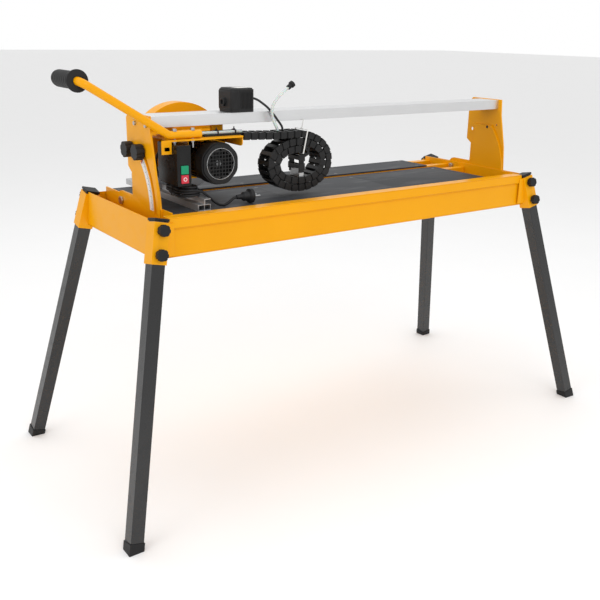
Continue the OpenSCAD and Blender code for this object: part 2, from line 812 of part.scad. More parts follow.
module motor_stator() {
    color("#a8642c") difference() {
        rod_y(motor_front + 30, motor_back - 30, axis_x, axis_z, motor_r - 3 - housing_wall - 0.02);
        rod_y(motor_front + 29, motor_back - 29, axis_x, axis_z, stator_r);
    }
}

// An octagon with round corners, r from its middle to a flat
module soft_octagon(r, corner_r) {
    hull() for (i = [0 : 7]) rotate(22.5 + i * 45)
        translate([(r - corner_r) / cos(22.5), 0]) circle(r = corner_r, $fn = 32);
}

// Pressed eight-sided cover over the fan, with a round field of square holes
module fan_cover() {
    cell = 9;
    hole = 6.4;
    field_r = 38;
    steps = floor(field_r / cell);
    color("#26272a") difference() {
        union() {
            translate([axis_x, motor_front - 0.02, axis_z]) rotate([90, 0, 0])
                linear_extrude(fan_len - 4) soft_octagon(motor_r + 0.5, fan_corner_r);
            translate([axis_x, fan_front + 6, axis_z]) rotate([90, 0, 0])
                linear_extrude(6) soft_octagon(motor_r - 3, fan_corner_r);
        }
        rod_y(fan_front + 3, motor_front + 1, axis_x, axis_z, motor_r - 6);
        rod_y(fan_front + 7, motor_front + 1, axis_x, axis_z, motor_r + 0.5 - fan_wall);
        for (i = [-steps : steps], k = [-steps : steps])
            if (norm([i, k]) * cell < field_r - 1)
                block(axis_x + i * cell - hole / 2, axis_x + i * cell + hole / 2, fan_front - 1, fan_front + 4,
                    axis_z + k * cell - hole / 2, axis_z + k * cell + hole / 2);
    }
}

module motor_cradle() {
    z0 = carriage_z - carriage_t;
    x = axis_x - motor_r - 12;
    color("#d98d17") {
        block(x, x + 3, motor_front + 10, motor_back, axis_z - 41, z0 - 0.01);
        block(x, x + 24, motor_front + 10, motor_back, axis_z - 41, axis_z - 38);
        block(x, x + 16, motor_front + 30, motor_back, z0 - 3.01, z0 - 0.01);
    }
}

module rotor_shaft() {
    color("#9a9da0") {
        rod_y(fan_front + 12, cut_y + 16, axis_x, axis_z, shaft_r);
        rod_y(motor_front + 34, motor_back - 34, axis_x, axis_z, stator_r - 0.6);
        rod_y(guard_y0 + 4, cut_y + blade_t / 2 + 4, axis_x, axis_z, arbor_r);
    }
}

module cooling_fan() {
    y0 = fan_front + 14;
    color("#2f3033") difference() {
        union() {
            rod_y(y0, y0 + 14, axis_x, axis_z, shaft_r + 5);
            rod_y(y0 + 11, y0 + 14, axis_x, axis_z, motor_r - 10);
            for (i = [0 : 7]) translate([axis_x, 0, axis_z]) rotate([0, i * 45, 0])
                block(shaft_r + 3, motor_r - 10, y0 + 1, y0 + 12, -1, 1);
        }
        rod_y(y0 - 1, y0 + 15, axis_x, axis_z, shaft_r + 0.01);
    }
}

module blade() {
    y0 = cut_y - blade_t / 2;
    color("#b4b7bb") difference() {
        rod_y(y0, y0 + blade_t, axis_x, axis_z, blade_d / 2, $fn = fine);
        rod_y(y0 - 1, y0 + blade_t + 1, axis_x, axis_z, arbor_r + 0.02);
        for (i = [0 : 15]) translate([axis_x, 0, axis_z]) rotate([0, i * 22.5, 0])
            block(blade_d / 2 - 12, blade_d / 2 + 2, y0 - 1, y0 + blade_t + 1, -1, 1);
    }
}

module blade_flanges() {
    y0 = cut_y - blade_t / 2;
    y1 = cut_y + blade_t / 2;
    color("#85888c") {
        difference() {
            rod_y(y0 - 8, y0 - 0.01, axis_x, axis_z, flange_r);
            rod_y(y0 - 9, y0 + 1, axis_x, axis_z, arbor_r + 0.02);
        }
        difference() {
            rod_y(y1 + 0.01, y1 + 5, axis_x, axis_z, flange_r);
            rod_y(y1, y1 + 6, axis_x, axis_z, arbor_r + 0.02);
        }
        difference() {
            translate([axis_x, y1 + 14, axis_z]) rotate([90, 0, 0]) cylinder(h = 8.9, r = 15, $fn = 6);
            rod_y(y1, y1 + 16, axis_x, axis_z, shaft_r + 0.01);
        }
    }
}

// Sheet hood over the blade, open below
module blade_guard() {
    low = axis_z - 30;
    color("#f2a20f") difference() {
        rod_y(guard_y0, guard_y1, axis_x, axis_z, guard_r, $fn = fine);
        rod_y(guard_y0 + guard_t, guard_y1 - guard_t, axis_x, axis_z, guard_r - guard_t, $fn = fine);
        rod_y(guard_y0 - 1, guard_y0 + guard_t + 1, axis_x, axis_z, flange_r + 3);
        block(axis_x - 200, axis_x + 200, guard_y0 - 1, guard_y1 + 1, low - 200, low);
    }
}

// ---- switch box -----------------------------------------------------------------

module button_block(z, gap) {
    block(button_x - button_w / 2 - gap, button_x + button_w / 2 + gap, box_y0 - button_out, box_y0 + 9,
        z - gap, z + button_h + gap);
}
module switch_box() {
    color("#1b1c1e") difference() {
        translate([0, 0, box_z0]) linear_extrude(box_z1 - box_z0)
            round_rect(box_x0, box_x1, box_y0, box_y1, 3);
        block(box_x0 + box_wall, box_x1 - box_wall, box_y0 + box_wall, box_y1 - box_wall,
            box_z0 + box_wall, box_z1 - box_wall);
        for (z = button_zs) button_block(z, slide_gap);
    }
    color("#1a1a1c") translate([lead_x, box_y1 - 1, lead_z]) rotate([-90, 0, 0])
        cylinder(h = relief_len + 1, r1 = lead_r * 2, r2 = lead_r * 1.3);
}
module start_button() { color("#16945f") button_block(button_zs[0], 0); }
module stop_button() { color("#c23b45") button_block(button_zs[1], 0); }

// ---- pump, chain, hose ------------------------------------------------------------

module pump_box() {
    x_mid = (pump_x0 + pump_x1) / 2;
    color("#222325") {
        translate([0, 0, pump_z0]) linear_extrude(pump_z1 - pump_z0 - 3)
            round_rect(pump_x0, pump_x1, pump_y0, pump_y1, 9);
        translate([0, 0, pump_z1 - 3.01]) linear_extrude(3)
            round_rect(pump_x0 + 3, pump_x1 - 3, pump_y0 + 3, pump_y1 - 3, 7);
        difference() {
            rod_x(pump_x0 - 7, pump_x0 + 1, -65, pump_z0 + 25, 11);
            rod_x(pump_x0 - 8, pump_x0 - 1, -65, pump_z0 + 25, 6);
        }
    }
}

module chain_arm() {
    color("#2b2c2f") {
        block(arm_x0, arm_x1, chain_y0 + 14, chain_y0 + 40, carriage_z, carriage_z + arm_t);
        block(arm_x0, arm_x1 - 20, chain_y0 + 37, chain_y0 + 40, carriage_z, carriage_z + 12);
    }
}

module stadium(x0, x1, z0, z1) {
    r = (z1 - z0) / 2;
    translate([x0 + r, z0]) square([x1 - x0 - 2 * r, 2 * r]);
    for (x = [x0 + r, x1 - r]) translate([x, z0 + r]) circle(r = r, $fn = fine);
}

// Chain rolled up in two turns; its free end hangs inside
module cable_chain() {
    tail_x = (hole_x0 + hole_x1) / 2 + 22;
    color("#27282b") plate_xz(chain_y0, chain_w) {
        difference() {
            stadium(coil_x0, coil_x1, coil_z0, coil_z1);
            stadium(hole_x0, hole_x1, hole_z0, hole_z1);
        }
        translate([arm_x1 + 0.02, coil_z1 - chain_t]) square([coil_x0 + 90 - arm_x1, chain_t]);
        translate([tail_x, hole_z0 + 36]) square([chain_t, hole_z1 - hole_z0 - 30]);
    }
}
module chain_bracket() {
    tail_x = (hole_x0 + hole_x1) / 2 + 22;
    color("#a3a6aa") difference() {
        union() {
            block(tail_x + 2, tail_x + chain_t - 2, chain_y0 + 6, chain_y1 - 6, hole_z0 + 12, hole_z0 + 35.98);
            block(tail_x - 10, tail_x + chain_t - 2, chain_y0 + 6, chain_y1 - 6, hole_z0 + 9, hole_z0 + 12.01);
        }
        for (y = [chain_y0 + 16, chain_y1 - 16])
            translate([tail_x - 4, y, hole_z0 + 8]) cylinder(h = 5, r = 2.2);
    }
}

module beside_head() { translate([axis_x - cord_axis_x, 0, axis_z - cord_axis_z]) children(); }

module pump_cord() { color("#1a1a1c") beside_head() swept_tube(pump_cord_path, pump_cord_r, 8); }
module water_hose() { color("#d8dad6") beside_head() swept_tube(hose_path, hose_r, 10); }
module hose_connector() {
    tip = hose_path[len(hose_path) - 1];
    along = unit(tip - hose_path[len(hose_path) - 2]);
    color("#1a1a1c") beside_head() translate(tip) rotate([0, acos(along[2]), atan2(along[1], along[0])]) {
        translate([0, 0, 0.02]) cylinder(h = 12, r = 6.5);
        translate([0, 0, 12]) cylinder(h = 8, r = 9);
    }
}

// ---- fence ----------------------------------------------------------------------

// Two closed cells below and one open cell above, facing right
module fence_outline() {
    low_h = fence_h / 2;
    cell_w = (fence_w - 3 * fence_wall) / 2;
    difference() {
        union() {
            square([fence_w, low_h + fence_wall / 2]);
            translate([fence_w / 2, low_h - 1]) square([fence_w / 2, low_h + 1]);
        }
        for (x = [fence_wall, 2 * fence_wall + cell_w])
            translate([x, fence_wall]) square([cell_w, low_h - 1.5 * fence_wall]);
        translate([fence_w / 2 + fence_wall, low_h + fence_wall / 2])
            square([fence_w / 2, low_h - 1.5 * fence_wall]);
    }
}
// Front and rear lengths, joined past the blade by a low strip under the left cell
module rip_fence() {
    notch_z = table_z + 3;
    lean = 34 / 32; // the gap widens upwards, for the tilted blade
    rise = fence_z0 + fence_h - notch_z;
    y0 = cut_y - 12;
    y1 = cut_y + 16;
    color("#aeb1b4") {
        fence_length(fence_y0, y0);
        difference() {
            fence_length(y1, fence_y1);
            plate_yz(fence_x0 - 1, fence_w + 2) polygon([[y1 - 1, notch_z],
                [y1, notch_z], [y1 + (rise + 5) * lean, notch_z + rise + 5], [y1 - 1, notch_z + rise + 5]]);
        }
        block(fence_x0, fence_x0 + fence_w / 2, y0 + seam, y1 - seam, fence_z0, notch_z);
    }
}
module fence_length(y0, y1) {
    translate([fence_x0, y1, fence_z0]) rotate([90, 0, 0]) linear_extrude(y1 - y0) fence_outline();
}

// ---- mains lead -------------------------------------------------------------------

module mains_cord() {
    color("#1a1a1c") beside_head() {
        swept_tube(lead_from_box, lead_r, 8);
        swept_tube(lead_to_plug, lead_r, 8);
    }
}
module mains_hank() {
    r = hank_w / 2;
    color("#1a1a1c") beside_head() translate([hank_x, hank_y, hank_z]) linear_extrude(hank_h) {
        translate([-r, -hank_len / 2 + r]) square([hank_w, hank_len - hank_w]);
        for (s = [-1, 1]) translate([0, s * (hank_len / 2 - r)]) circle(r = r);
    }
}
module plug_body() {
    x0 = plug_face_x - 48;
    color("#1a1a1c") translate([x0, plug_y, plug_z]) rotate([0, 90, 0]) rotate_extrude()
        polygon([[0, 0.02], [5.5, 0.02], [7, 14], [12, 20], [13, 34], [plug_r, 38], [plug_r, 48], [0, 48]]);
}
module plug_pins() {
    color("#c9cbce") for (s = [-1, 1])
        rod_x(plug_face_x + 0.02, plug_face_x + 19, plug_y + s * 9.5, plug_z, 2.4);
}

tub();
corner_sockets();
legs();
leg_end_caps();
leg_knob(1);  // leg_knob_1
leg_knob(2);  // leg_knob_2
leg_knob(3);  // leg_knob_3
leg_knob(4);  // leg_knob_4
leg_knob(5);  // leg_knob_5
leg_knob(6);  // leg_knob_6
leg_knob(7);  // leg_knob_7
leg_knob(8);  // leg_knob_8
table_frame();
front_table();
rear_table();
table_screws();
stay_plates();
pivot_bolts();
scale_pointer();
tilt_knob_left();
tilt_knob_right();
rip_fence();
left_post();
right_post();
angle_scale();
rail();
rail_screws();
stop_knob();
carriage_plate();
trolley_hangers();
roller(1);  // roller_1
roller(2);  // roller_2
roller(3);  // roller_3
roller(4);  // roller_4
handle_tube();
handle_grip();
motor_housing();
fan_cover();
motor_stator();
motor_bearings();
motor_cradle();
blade_guard();
rotor_shaft();
cooling_fan();
blade();
blade_flanges();
switch_box();
start_button();
stop_button();
pump_box();
chain_arm();
cable_chain();
chain_bracket();
pump_cord();
water_hose();
hose_connector();
mains_cord();
mains_hank();
plug_body();
plug_pins();
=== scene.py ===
"""The looks of a bridge tile cutter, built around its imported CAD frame."""

import json
import math

import bmesh
import bpy
from mathutils import Matrix, Vector


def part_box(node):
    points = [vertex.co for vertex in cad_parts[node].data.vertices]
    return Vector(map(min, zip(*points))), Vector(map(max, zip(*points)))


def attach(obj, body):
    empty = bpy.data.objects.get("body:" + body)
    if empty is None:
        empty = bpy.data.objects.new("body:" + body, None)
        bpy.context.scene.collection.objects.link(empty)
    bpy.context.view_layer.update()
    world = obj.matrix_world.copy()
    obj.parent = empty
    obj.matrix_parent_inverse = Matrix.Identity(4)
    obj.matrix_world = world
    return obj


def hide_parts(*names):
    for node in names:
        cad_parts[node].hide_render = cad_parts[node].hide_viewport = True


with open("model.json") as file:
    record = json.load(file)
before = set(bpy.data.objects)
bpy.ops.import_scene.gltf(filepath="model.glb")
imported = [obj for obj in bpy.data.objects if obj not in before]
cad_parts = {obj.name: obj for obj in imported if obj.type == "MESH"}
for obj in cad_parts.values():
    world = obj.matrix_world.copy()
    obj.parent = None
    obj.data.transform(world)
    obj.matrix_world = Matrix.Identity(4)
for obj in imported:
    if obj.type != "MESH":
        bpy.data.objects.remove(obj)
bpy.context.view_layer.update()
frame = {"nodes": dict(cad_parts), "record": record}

# ---- Camera --------------------------------------------------------------------------
# A long-ish lens stands in front of the machine's left end and looks slightly
# down on the table, with a trace of roll.

CAMERA_PLACE = Vector((-1.474, -1.961, 1.207))
CAMERA_TURN = math.radians(35.42)
CAMERA_DIP = math.radians(18.38)
CAMERA_ROLL = math.radians(1.1)
CAMERA_LENS = 48.92

camera_data = bpy.data.cameras.new("camera")
camera_data.lens = CAMERA_LENS
camera_data.sensor_width = 36
camera_data.clip_start = 0.05
camera = bpy.data.objects.new("camera", camera_data)
camera.matrix_world = (
    Matrix.Translation(CAMERA_PLACE)
    @ Matrix.Rotation(-CAMERA_TURN, 4, "Z")
    @ Matrix.Rotation(math.pi / 2 - CAMERA_DIP, 4, "X")
    @ Matrix.Rotation(CAMERA_ROLL, 4, "Z")
)
bpy.context.scene.collection.objects.link(camera)
bpy.context.scene.camera = camera


# ---- Materials' common ground --------------------------------------------------------
# Every finish is one Principled shader whose maths is written as Python
# expressions on sockets.


class Wire:
    """A node's output. Arithmetic on it adds Math nodes."""

    def __init__(self, paint, out):
        self.paint, self.out = paint, out

    def maths(self, operation, *terms):
        return self.paint.node("Math", {"operation": operation}, dict(enumerate(terms)))

    def __add__(self, other):
        return self.maths("ADD", self, other)

    def __sub__(self, other):
        return self.maths("SUBTRACT", self, other)

    def __mul__(self, other):
        return self.maths("MULTIPLY", self, other)

    def __rsub__(self, other):
        return self.maths("SUBTRACT", other, self)

    __radd__ = __add__
    __rmul__ = __mul__


class Paint:
    """One material, with its Principled shader and the nodes that feed it."""

    def __init__(self, name, **fixed):
        self.material = bpy.data.materials.new(name)
        self.material.use_nodes = True
        self.tree = self.material.node_tree
        self.tree.nodes.clear()
        output = self.tree.nodes.new("ShaderNodeOutputMaterial")
        self.shader = self.tree.nodes.new("ShaderNodeBsdfPrincipled")
        self.tree.links.new(self.shader.outputs[0], output.inputs[0])
        self.set(fixed)

    def feed(self, socket, value):
        if isinstance(value, Wire):
            self.tree.links.new(value.out, socket)
        else:
            socket.default_value = value

    def set(self, sockets):
        for name, value in sockets.items():
            self.feed(self.shader.inputs[name.replace("_", " ")], value)
        return self

    def node(self, kind, settings=None, sockets=None, out=0):
        made = self.tree.nodes.new("ShaderNode" + kind)
        for key, value in (settings or {}).items():
            if key == "stops":
                while len(made.color_ramp.elements) < len(value):
                    made.color_ramp.elements.new(0.5)
                for element, (place, tone) in zip(made.color_ramp.elements, value):
                    element.position = place
                    element.color = (tone, tone, tone, 1)
            else:
                setattr(made, key, value)
        for key, value in (sockets or {}).items():
            self.feed(made.inputs[key], value)
        return Wire(self, made.outputs[out])

    def place(self, stretch=(1, 1, 1)):
        """The point on the piece, in metres, stretched along each axis."""
        point = self.node("TexCoord", out=3)
        return self.node("Mapping", None, {"Vector": point, "Scale": stretch})

    def noise(self, scale, detail=3, stretch=(1, 1, 1), roughness=0.55):
        return self.node(
            "TexNoise",
            None,
            {"Vector": self.place(stretch), "Scale": scale, "Detail": detail, "Roughness": roughness},
        )

    def ramp(self, value, low, high, dark=0.0, light=1.0):
        return self.node("ValToRGB", {"stops": [(low, dark), (high, light)]}, {"Fac": value})

    def tint(self, factor, first, second):
        """A colour between two colours."""
        sockets = {0: factor, 6: first, 7: second}
        return self.node("Mix", {"data_type": "RGBA"}, sockets, out=2)

    def bump(self, height, depth, strength=1.0):
        return self.node("Bump", None, {"Strength": strength, "Distance": depth, "Height": height})


def rgb(red, green, blue):
    return (red, green, blue, 1)


# ---- Pieces' common ground -----------------------------------------------------------
# A sheet or moulded part has broken edges, so a CAD node whose shape is right is
# shown as a copy of it with its edges rounded.

NODE_BODY = {n: b for b, nodes in frame["record"]["behaviour"]["bodies"].items() for n in nodes}


def shade(mesh, angle=32):
    for face in mesh.polygons:
        face.use_smooth = True
    mesh.set_sharp_from_angle(angle=math.radians(angle))


def add_piece(name, mesh, body, material, stands_for=()):
    piece = bpy.data.objects.new(name, mesh)
    bpy.context.scene.collection.objects.link(piece)
    mesh.materials.clear()
    mesh.materials.append(material)
    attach(piece, body)
    if stands_for:
        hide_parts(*stands_for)
    return piece


def softened(node, material, edge, segments=2, limit=35):
    """Shows a CAD node as a copy with its edges rounded to the radius edge."""
    mesh = frame["nodes"][node].data.copy()
    built = bmesh.new()
    built.from_mesh(mesh)
    bmesh.ops.remove_doubles(built, verts=built.verts, dist=1e-6)
    bmesh.ops.dissolve_limit(
        built, angle_limit=math.radians(0.5), verts=built.verts, edges=built.edges
    )
    built.to_mesh(mesh)
    built.free()
    mesh.name = node + "_soft"
    piece = add_piece(node + "_soft", mesh, NODE_BODY[node], material, [node])
    bevel = piece.modifiers.new("edge", "BEVEL")
    bevel.width = edge
    bevel.segments = segments
    bevel.limit_method = "ANGLE"
    bevel.angle_limit = math.radians(limit)
    bevel.use_clamp_overlap = True
    bevel.miter_outer = "MITER_ARC"
    bevel.harden_normals = False
    shade(mesh, 40)
    return piece


def finished(node, material):
    """Keeps the CAD node itself and gives it its finish."""
    kept = frame["nodes"][node]
    kept.data.materials.clear()
    kept.data.materials.append(material)
    shade(kept.data)
    return kept


def joined(parts):
    """One mesh from several bmesh builders, each called with the mesh being built."""
    built = bmesh.new()
    for part in parts:
        part(built)
    mesh = bpy.data.meshes.new("joined")
    built.to_mesh(mesh)
    built.free()
    shade(mesh)
    return mesh


def smooth_line(points, per_span=8):
    """Points on one smooth curve through the given points (Catmull-Rom)."""
    knots = [Vector(p) for p in points]
    ends = [2 * knots[0] - knots[1], *knots, 2 * knots[-1] - knots[-2]]
    line = []
    for a, b, c, d in zip(ends, ends[1:], ends[2:], ends[3:]):
        for step in range(per_span):
            t = step / per_span
            line.append(
                0.5
                * (
                    2 * b
                    + (c - a) * t
                    + (2 * a - 5 * b + 4 * c - d) * t * t
                    + (3 * b - a - 3 * c + d) * t ** 3
                )
            )
    line.append(knots[-1])
    return line


def tube_curve(name, line, radius, body, material, stands_for=(), sides=6):
    """A curve of one open spline with a round section."""
    data = bpy.data.curves.new(name, "CURVE")
    data.dimensions = "3D"
    data.bevel_depth = radius
    data.bevel_resolution = sides
    data.use_fill_caps = True
    spline = data.splines.new("POLY")
    spline.points.add(len(line) - 1)
    for knot, place in zip(spline.points, line):
        knot.co = (*place, 1)
    spline.use_smooth = True
    data.materials.append(material)
    piece = bpy.data.objects.new(name, data)
    bpy.context.scene.collection.objects.link(piece)
    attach(piece, body)
    if stands_for:
        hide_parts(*stands_for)
    return piece


# ---- Cords and hose ------------------------------------------------------------------
# The mains lead is black rubber, 7 mm thick: out of the switch box's back, round
# into a tied hank over the fence, then down to its two-pin plug on the table. A 6 mm
# pump cable and an 8 mm clear hose come out of the cable chain.

MM = 0.001
LEAD_RADIUS = 3.5 * MM
lead_from_box = [
    (-538, -26, 899), (-538, -14, 899), (-538, -4, 898), (-538, 5, 894), (-538, 13, 888),
    (-538, 19, 880), (-538, 23, 871), (-538, 24, 861), (-538, 23, 851), (-538, 19, 842),
    (-538, 13, 834), (-538, 5, 828), (-538, -4, 824), (-538, -14, 823), (-538, -31, 823),
]
lead_to_plug = [
    (-496, -143, 812), (-487, -144, 806), (-478, -145, 799), (-469, -146, 791), (-460, -146, 783),
    (-450, -146, 776), (-440, -146, 772), (-429, -145, 771), (-418, -144, 774), (-408, -143, 779),
    (-400, -142, 784), (-392, -142, 786),
]
pump_cord_path = [
    (-309, -80, 1031), (-300, -82, 1031), (-289, -87, 1026), (-279, -93, 1018), (-269, -99, 1009),
    (-260, -104, 998), (-250, -107, 986), (-242, -109, 975), (-234, -110, 965), (-228, -110, 956),
    (-226, -110, 947),
]
hose_path = [
    (-245, -114, 948), (-249, -115, 957), (-255, -116, 966), (-262, -117, 980), (-266, -118, 994),
    (-265, -118, 1008), (-259, -118, 1021), (-249, -117, 1032), (-237, -116, 1042),
    (-225, -115, 1050), (-213, -114, 1058),
]


def in_metres(points):
    return [Vector(p) * MM for p in points]


rubber = Paint("cord_rubber", IOR=1.5, Specular_IOR_Level=0.3)
grime = rubber.noise(90, 4)
rubber.set({
    "Base Color": rubber.tint(grime, rgb(0.006, 0.006, 0.007), rgb(0.02, 0.02, 0.021)),
    "Roughness": grime * 0.2 + 0.4,
    "Normal": rubber.bump(rubber.noise(900, 2), 0.0002, 0.3),
})

clear_hose = Paint("clear_hose", IOR=1.45)
clear_hose.shader.inputs["Transmission Weight"].default_value = 0.35
clear_hose.shader.inputs["Subsurface Weight"].default_value = 0.25
milk = clear_hose.noise(60, 3)
clear_hose.set({
    "Base Color": clear_hose.tint(milk, rgb(0.62, 0.66, 0.64), rgb(0.86, 0.87, 0.84)),
    "Roughness": milk * 0.15 + 0.14,
    "Normal": clear_hose.bump(clear_hose.noise(300, 2), 0.0003, 0.25),
})

# The hank is an oblong winding, two turns wide and four high. The lead enters on
# top of the inner column, winds down it, crosses outwards and winds up again.

hank_low, hank_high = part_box("mains_hank")
hank_middle = (hank_low + hank_high) / 2
HANK_OUTER = (hank_high.x - hank_low.x) / 2 - LEAD_RADIUS - 0.2 * MM
HANK_INNER = HANK_OUTER - 7.0 * MM
HANK_STRAIGHT = (hank_high.y - hank_low.y) - (hank_high.x - hank_low.x)
HANK_LEVEL = 7.3 * MM
HANK_STEPS = 30


def eased(t):
    return t * t * (3 - 2 * t)


def hank_turn(offset, level, climb, begun_at=None, stop=1.0):
    """One turn from the left straight's rear end; level counts layers from the bottom."""
    straight, arc = HANK_STRAIGHT, math.pi * offset
    whole = 2 * (straight + arc)
    begun_at = begun_at or offset
    places = []
    for step in range(math.ceil(HANK_STEPS * stop)):
        along = whole * step / HANK_STEPS
        if along < straight:
            out = begun_at + (offset - begun_at) * eased(along / straight)
            x, y = -out, straight / 2 - along
        elif along < straight + arc:
            turned = (along - straight) / offset
            x, y = -offset * math.cos(turned), -straight / 2 - offset * math.sin(turned)
        elif along < 2 * straight + arc:
            x, y = offset, along - 1.5 * straight - arc
        else:
            turned = (along - 2 * straight - arc) / offset
            x, y = offset * math.cos(turned), straight / 2 + offset * math.sin(turned)
        risen = max(0, (along - straight) / (whole - straight))
        z = hank_low.z + LEAD_RADIUS + (level + climb * risen) * HANK_LEVEL
        places.append(Vector((hank_middle.x + x, hank_middle.y + y, z)))
    return places


hank_line = [p for level in (3, 2, 1) for p in hank_turn(HANK_INNER, level, -1)]
hank_line += hank_turn(HANK_OUTER, 0, 1, begun_at=HANK_INNER)
hank_line += hank_turn(HANK_OUTER, 1, 1)
hank_line += hank_turn(HANK_OUTER, 2, 0, stop=0.36)

lead_line = smooth_line([*in_metres(lead_from_box), *hank_line, *in_metres(lead_to_plug)], 4)
lead = tube_curve("mains_lead", lead_line, LEAD_RADIUS, "carriage", rubber.material,
                  ["mains_cord", "mains_hank"])
pump_lead = tube_curve("pump_lead", smooth_line(in_metres(pump_cord_path)), 3 * MM, "carriage",
                       rubber.material, ["pump_cord"])
hose = tube_curve("tap_hose", smooth_line(in_metres(hose_path)), 4 * MM, "carriage",
                  clear_hose.material, ["water_hose"])


# ---- Stage ---------------------------------------------------------------------------
# A wide pale floor and soft boxes of light, brighter from the front left. The sky
# looks brighter to the camera than it shines on the pieces, for a white backdrop.

FLOOR_SIZE = 40
SKY_ON_PIECES = 0.86
SKY_TO_CAMERA = 1.0

floor_mesh = joined([
    lambda built: bmesh.ops.create_grid(built, x_segments=1, y_segments=1, size=FLOOR_SIZE)
])
floor = bpy.data.objects.new("floor", floor_mesh)
bpy.context.scene.collection.objects.link(floor)
floor_paint = Paint("floor", Roughness=0.62)
mottle = floor_paint.noise(3, 3)
floor_paint.set({
    "Base Color": floor_paint.tint(mottle, rgb(0.93, 0.93, 0.93), rgb(0.95, 0.95, 0.95)),
})
floor_mesh.materials.append(floor_paint.material)


def soft_box(name, place, target, size, power):
    data = bpy.data.lights.new(name, "AREA")
    data.shape = "RECTANGLE"
    data.size, data.size_y = size
    data.energy = power
    lamp = bpy.data.objects.new(name, data)
    lamp.location = place
    lamp.rotation_euler = (Vector(target) - Vector(place)).to_track_quat("-Z", "Y").to_euler()
    bpy.context.scene.collection.objects.link(lamp)


TABLE_MIDDLE = (0, 0, 0.8)
soft_box("key", (-0.6, -3.4, 3.0), TABLE_MIDDLE, (3.0, 2.2), 44)
soft_box("side", (-3.6, -0.6, 2.0), TABLE_MIDDLE, (2.2, 2.2), 17)
soft_box("top", (0.2, 0.6, 3.6), TABLE_MIDDLE, (3.6, 2.4), 30)

world = bpy.data.worlds.new("studio")
world.use_nodes = True
sky_tree = world.node_tree
sky = sky_tree.nodes["Background"]
sky.inputs["Color"].default_value = rgb(1, 1, 1)
seen = sky_tree.nodes.new("ShaderNodeLightPath")
lift = sky_tree.nodes.new("ShaderNodeMapRange")
lift.inputs["To Min"].default_value = SKY_ON_PIECES
lift.inputs["To Max"].default_value = SKY_TO_CAMERA
sky_tree.links.new(seen.outputs["Is Camera Ray"], lift.inputs["Value"])
sky_tree.links.new(lift.outputs[0], sky.inputs["Strength"])
bpy.context.scene.world = world
bpy.context.scene.view_settings.view_transform = "Standard"


# ---- Water tub, sockets and table frame ----------------------------------------------
# The tub is folded from 2 mm steel sheet and spot welded, with the leg sockets
# welded into its corners. All of it is powder coated in one warm yellow.


def powder_coat(name, low, high, gloss=0.3):
    """Powder coat: a faint orange peel, slow changes of tone and a little dust."""
    paint = Paint(name, Specular_IOR_Level=0.14, Coat_Roughness=0.2)
    tone = paint.noise(5, 4)
    dust = paint.ramp(paint.noise(34, 5), 0.5, 0.78)
    peel = paint.noise(620, 2)
    paint.set({
        "Base Color": paint.tint(tone, low, high),
        "Roughness": dust * 0.16 + gloss,
        "Coat Weight": 0.1 - dust * 0.08,
        "Normal": paint.bump(peel, 0.00025, 0.22),
    })
    return paint


yellow = powder_coat("yellow_paint", rgb(0.76, 0.32, 0.001), rgb(0.86, 0.38, 0.001))
YELLOW_EDGES = {"tub": 1.0, "corner_sockets": 0.9, "table_frame": 0.5, "stay_plates": 0.6}
for node, edge in YELLOW_EDGES.items():
    softened(node, yellow.material, edge * MM)


# ---- Legs ----------------------------------------------------------------------------
# Square steel tube with round corners, painted black, with moulded caps at both
# ends. Two star-headed screws clamp each leg in its socket.

black_coat = powder_coat("black_paint", rgb(0.003, 0.003, 0.003), rgb(0.007, 0.007, 0.0075), 0.24)
black_coat.shader.inputs["Specular IOR Level"].default_value = 0.6
softened("legs", black_coat.material, 2.6 * MM, 3)


def moulded(name, low, high, rough=0.42, grain=1400):
    """Injection-moulded plastic with a fine spark-eroded grain."""
    plastic = Paint(name, IOR=1.49, Specular_IOR_Level=0.28)
    worn = plastic.noise(26, 4)
    plastic.set({
        "Base Color": plastic.tint(worn, low, high),
        "Roughness": worn * 0.14 + rough,
        "Normal": plastic.bump(plastic.noise(grain, 2), 0.00015, 0.3),
    })
    return plastic


black_plastic = moulded("black_plastic", rgb(0.005, 0.005, 0.005), rgb(0.013, 0.013, 0.014))
softened("leg_end_caps", black_plastic.material, 1.2 * MM)
for number in range(1, 9):
    softened(f"leg_knob_{number}", black_plastic.material, 1.6 * MM, 3)


# ---- Table ---------------------------------------------------------------------------
# Two steel plates with a matt slate-grey coating, held down with countersunk screws.

slate = Paint("table_coating", Specular_IOR_Level=0.35)
scuffs = slate.ramp(slate.noise(7, 6, (1, 5, 1)), 0.52, 0.8)
grit = slate.noise(900, 3)
slate.set({
    "Base Color": slate.tint(scuffs, rgb(0.036, 0.039, 0.044), rgb(0.058, 0.061, 0.067)),
    "Roughness": 0.62 - scuffs * 0.14,
    "Normal": slate.bump(grit, 0.0003, 0.35),
})
softened("front_table", slate.material, 0.6 * MM)
softened("rear_table", slate.material, 0.6 * MM)


def metal(name, tone, rough, brushed=(1, 1, 1), depth=0.00008, scale=260):
    """Bare metal with fine lines along its grain; brushed stretches them."""
    bare = Paint(name, Metallic=1.0)
    lines = bare.noise(scale, 4, brushed)
    blotch = bare.noise(9, 3)
    dark = rgb(*(t * 0.82 for t in tone))
    bare.set({
        "Base Color": bare.tint(blotch * 0.5 + lines * 0.5, dark, rgb(*tone)),
        "Roughness": lines * 0.16 + rough,
        "Normal": bare.bump(lines, depth, 0.3),
    })
    return bare


zinc = metal("zinc", (0.56, 0.57, 0.58), 0.26)
dark_bolt = metal("dark_bolt", (0.16, 0.16, 0.17), 0.34)
finished("table_screws", dark_bolt.material)
softened("pivot_bolts", zinc.material, 0.5 * MM)


# ---- Rail and fence ------------------------------------------------------------------
# Extruded aluminium, satin anodised, with die lines along its length. The rail
# carries the cutting head; the fence lies across the table.

